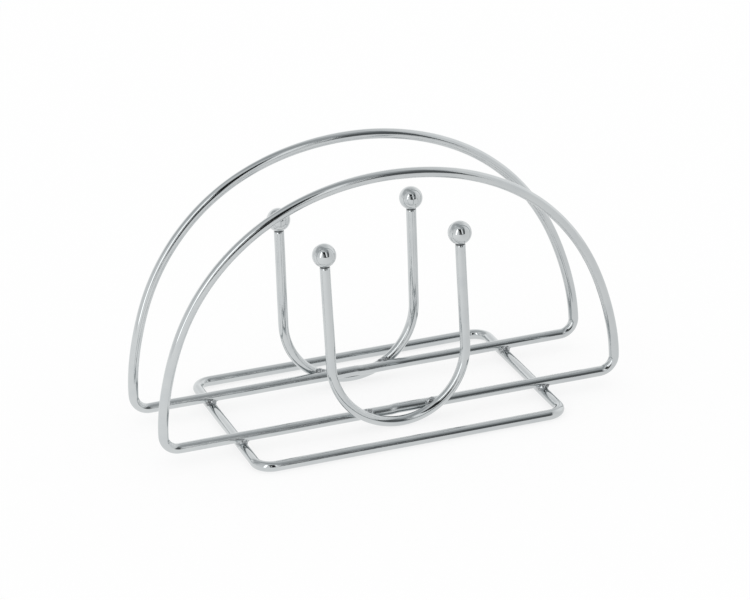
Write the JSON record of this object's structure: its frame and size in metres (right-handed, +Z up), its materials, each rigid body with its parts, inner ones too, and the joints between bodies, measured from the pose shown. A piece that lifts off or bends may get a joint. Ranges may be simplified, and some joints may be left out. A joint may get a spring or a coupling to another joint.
{
  "type": "napkin holder",
  "caption": "Chrome wire napkin holder: a flat rectangular base frame, half-moon hoops that stand across it and lean outward, and a ball-tipped U wire welded to each hoop.",
  "frame": {"origin": "on the table, under the middle of the holder", "axes": "+X along the hoops, left to right seen from the front; +Y from front to rear, through the hoops; +Z up"},
  "size_m": [0.188, 0.091, 0.1055],
  "materials": {
    "chrome_wire": "bright chrome plate on drawn steel wire, with faint draw lines",
    "chrome_ball": "bright chrome plate on polished steel balls",
    "weld": "uneven weld metal under chrome plate, duller than the wire"
  },
  "bodies": {
    "root": {"base_frame": "chrome_wire", "front_hoop": "chrome_wire", "rear_hoop": "chrome_wire", "front_u_wire": "chrome_wire", "rear_u_wire": "chrome_wire", "front_left_ball": "chrome_ball", "front_right_ball": "chrome_ball", "rear_left_ball": "chrome_ball", "rear_right_ball": "chrome_ball", "base_welds": "weld", "front_u_welds": "weld", "rear_u_welds": "weld"}
  },
  "joints": []
}
